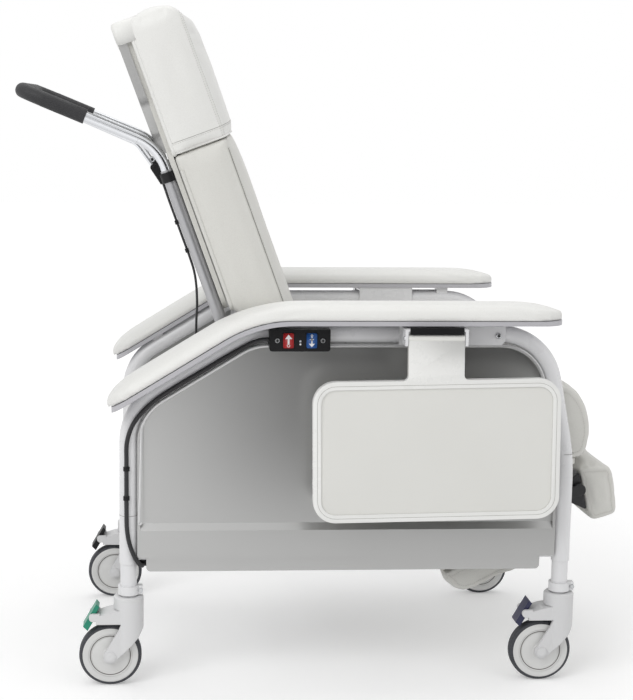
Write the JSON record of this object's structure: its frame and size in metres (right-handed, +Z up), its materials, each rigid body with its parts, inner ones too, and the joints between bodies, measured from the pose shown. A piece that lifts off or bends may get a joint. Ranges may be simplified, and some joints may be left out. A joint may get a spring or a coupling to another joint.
{
  "type": "clinical recliner",
  "caption": "Reclining treatment chair on swivel casters: tubular side frames, moulded panels, padded seat and back, push bar, fold-up leg rest and drop-down side trays",
  "frame": {"origin": "on the floor, below the middle of the whole chair's bounding box", "axes": "+X is the way the sitter faces, +Y is the sitter's left, +Z is up"},
  "size_m": [1.2527, 0.783, 1.371],
  "materials": {
    "frame_paint": "satin powder coat",
    "silver_paint": "satin silver paint",
    "panel_plastic": "fine matt grain",
    "vinyl": "soft coated fabric",
    "vinyl_light": "soft coated fabric",
    "zinc": "bright zinc plating",
    "satin_tube": "satin silver",
    "wrapped_board": "plywood wrapped in soft coated fabric",
    "black_plastic": "matt moulded",
    "black_paint": "semi-matt",
    "grip_rubber": "matt foam rubber",
    "cable_rubber": "matt jacket",
    "tray_plastic": "satin moulded",
    "red_plastic": "semi-gloss",
    "blue_plastic": "semi-gloss",
    "caster_nylon": "satin nylon",
    "wheel_rubber": "grey rubber tread",
    "green_plastic": "satin moulded",
    "navy_plastic": "satin moulded"
  },
  "bodies": {
    "chair_base": {"right_side_frame": "frame_paint", "left_side_frame": "frame_paint", "right_side_panel": "panel_plastic", "left_side_panel": "panel_plastic", "right_arm_board": "panel_plastic", "left_arm_board": "panel_plastic", "right_arm_pad": "vinyl_light", "left_arm_pad": "vinyl_light", "leg_tubes": "frame_paint", "leg_collars": "frame_paint", "screws": "zinc", "caster_stems": "zinc", "cross_rails": "frame_paint", "seat_frame": "frame_paint", "seat_board": "wrapped_board", "seat_cushion": "vinyl", "back_pins": "zinc", "leg_pins": "zinc", "right_tray_bracket": "frame_paint", "left_tray_bracket": "frame_paint", "control_housing": "black_plastic", "control_cable": "cable_rubber", "lead_clips": "black_plastic", "gas_spring_cylinder": "black_paint"},
    "backrest": {"back_posts": "silver_paint", "back_crossbars": "silver_paint", "back_board": "wrapped_board", "back_cushion": "vinyl", "head_cover": "vinyl_light", "head_shell": "panel_plastic", "push_bar": "satin_tube", "push_grip": "grip_rubber", "lever_bracket": "black_plastic", "release_cable": "cable_rubber", "cable_clips": "black_plastic"},
    "lever": {"release_lever": "satin_tube"},
    "spring_rod": {"gas_spring_rod": "zinc"},
    "leg_rest": {"calf_arms": "frame_paint", "calf_board": "wrapped_board", "calf_pad": "vinyl"},
    "foot_linkage": {"foot_links": "black_paint"},
    "foot_rest": {"foot_bracket": "black_paint", "foot_pad": "vinyl"},
    "right_tray_arm": {"right_tray": "tray_plastic"},
    "left_tray_arm": {"left_tray": "tray_plastic"},
    "red_key": {"red_button": "red_plastic"},
    "blue_key": {"blue_button": "blue_plastic"},
    "right_rear_swivel": {"right_rear_fork": "caster_nylon"},
    "right_rear_roller": {"right_rear_wheel": "wheel_rubber"},
    "right_rear_brake": {"right_rear_pedal": "green_plastic"},
    "left_rear_swivel": {"left_rear_fork": "caster_nylon"},
    "left_rear_roller": {"left_rear_wheel": "wheel_rubber"},
    "left_rear_brake": {"left_rear_pedal": "black_plastic"},
    "right_front_swivel": {"right_front_fork": "caster_nylon"},
    "right_front_roller": {"right_front_wheel": "wheel_rubber"},
    "right_front_brake": {"right_front_pedal": "navy_plastic"},
    "left_front_swivel": {"left_front_fork": "caster_nylon"},
    "left_front_roller": {"left_front_wheel": "wheel_rubber"},
    "left_front_brake": {"left_front_pedal": "black_plastic"}
  },
  "joints": [
    {"name": "back_recline", "type": "hinge", "parent": "chair_base", "child": "backrest", "pos_m": [-0.15323, 0, 0.575], "axis": [0, -1, 0], "range_deg": [0, 45]},
    {"name": "lever_squeeze", "type": "hinge", "parent": "backrest", "child": "lever", "pos_m": [-0.3515, 0, 1.04757], "axis": [0, 1, 0], "range_deg": [0, 6], "stiffness_Nm_per_rad": 4, "springref_deg": -5.73},
    {"name": "spring_rod_slide", "type": "slide", "parent": "chair_base", "child": "spring_rod", "axis": [0.9659, 0, -0.2588], "range_m": [0, 0.09184]},
    {"name": "leg_swing", "type": "hinge", "parent": "chair_base", "child": "leg_rest", "pos_m": [0.48427, 0, 0.398], "axis": [0, -1, 0], "range_deg": [0, 142]},
    {"name": "foot_link_swing", "type": "hinge", "parent": "leg_rest", "child": "foot_linkage", "pos_m": [0.31209, 0, 0.30645], "axis": [0, -1, 0], "range_deg": [-142, 0]},
    {"name": "foot_rest_tilt", "type": "hinge", "parent": "foot_linkage", "child": "foot_rest", "pos_m": [0.53377, 0, 0.388], "axis": [0, -1, 0], "range_deg": [0, 84]},
    {"name": "right_tray_swing", "type": "hinge", "parent": "chair_base", "child": "right_tray_arm", "pos_m": [0.19777, -0.3835, 0.727], "axis": [-1, 0, 0], "range_deg": [0, 90]},
    {"name": "left_tray_swing", "type": "hinge", "parent": "chair_base", "child": "left_tray_arm", "pos_m": [0.19777, 0.3835, 0.727], "axis": [1, 0, 0], "range_deg": [0, 90]},
    {"name": "red_button_press", "type": "slide", "parent": "chair_base", "child": "red_key", "axis": [0, 1, 0], "range_m": [0, 0.002], "stiffness_N_per_m": 800, "springref_m": -0.001},
    {"name": "blue_button_press", "type": "slide", "parent": "chair_base", "child": "blue_key", "axis": [0, 1, 0], "range_m": [0, 0.002], "stiffness_N_per_m": 800, "springref_m": -0.001},
    {"name": "right_rear_swivel_turn", "type": "hinge", "parent": "chair_base", "child": "right_rear_swivel", "pos_m": [-0.40123, -0.2935, 0.15], "axis": [0, 0, 1], "continuous": true},
    {"name": "right_rear_wheel_roll", "type": "hinge", "parent": "right_rear_swivel", "child": "right_rear_roller", "pos_m": [-0.43823, -0.2935, 0.0635], "axis": [0, 1, 0], "continuous": true},
    {"name": "right_rear_brake_press", "type": "hinge", "parent": "right_rear_swivel", "child": "right_rear_brake", "pos_m": [-0.47323, -0.2935, 0.146], "axis": [0, -1, 0], "range_deg": [0, 14]},
    {"name": "left_rear_swivel_turn", "type": "hinge", "parent": "chair_base", "child": "left_rear_swivel", "pos_m": [-0.40123, 0.2935, 0.15], "axis": [0, 0, 1], "continuous": true},
    {"name": "left_rear_wheel_roll", "type": "hinge", "parent": "left_rear_swivel", "child": "left_rear_roller", "pos_m": [-0.43823, 0.2935, 0.0635], "axis": [0, 1, 0], "continuous": true},
    {"name": "left_rear_brake_press", "type": "hinge", "parent": "left_rear_swivel", "child": "left_rear_brake", "pos_m": [-0.47323, 0.2935, 0.146], "axis": [0, -1, 0], "range_deg": [0, 14]},
    {"name": "right_front_swivel_turn", "type": "hinge", "parent": "chair_base", "child": "right_front_swivel", "pos_m": [0.48477, -0.2935, 0.15], "axis": [0, 0, 1], "continuous": true},
    {"name": "right_front_wheel_roll", "type": "hinge", "parent": "right_front_swivel", "child": "right_front_roller", "pos_m": [0.44777, -0.2935, 0.0635], "axis": [0, 1, 0], "continuous": true},
    {"name": "right_front_brake_press", "type": "hinge", "parent": "right_front_swivel", "child": "right_front_brake", "pos_m": [0.41277, -0.2935, 0.146], "axis": [0, -1, 0], "range_deg": [0, 14]},
    {"name": "left_front_swivel_turn", "type": "hinge", "parent": "chair_base", "child": "left_front_swivel", "pos_m": [0.48477, 0.2935, 0.15], "axis": [0, 0, 1], "continuous": true},
    {"name": "left_front_wheel_roll", "type": "hinge", "parent": "left_front_swivel", "child": "left_front_roller", "pos_m": [0.44777, 0.2935, 0.0635], "axis": [0, 1, 0], "continuous": true},
    {"name": "left_front_brake_press", "type": "hinge", "parent": "left_front_swivel", "child": "left_front_brake", "pos_m": [0.41277, 0.2935, 0.146], "axis": [0, -1, 0], "range_deg": [0, 14]}
  ],
  "couplings": [
    {"joint": "spring_rod_slide", "follows": "back_recline", "m_per_rad": 0.11694},
    {"joint": "leg_swing", "follows": "back_recline", "ratio": 3.1555},
    {"joint": "foot_link_swing", "follows": "back_recline", "ratio": -3.1555},
    {"joint": "foot_rest_tilt", "follows": "back_recline", "ratio": 1.8667}
  ]
}
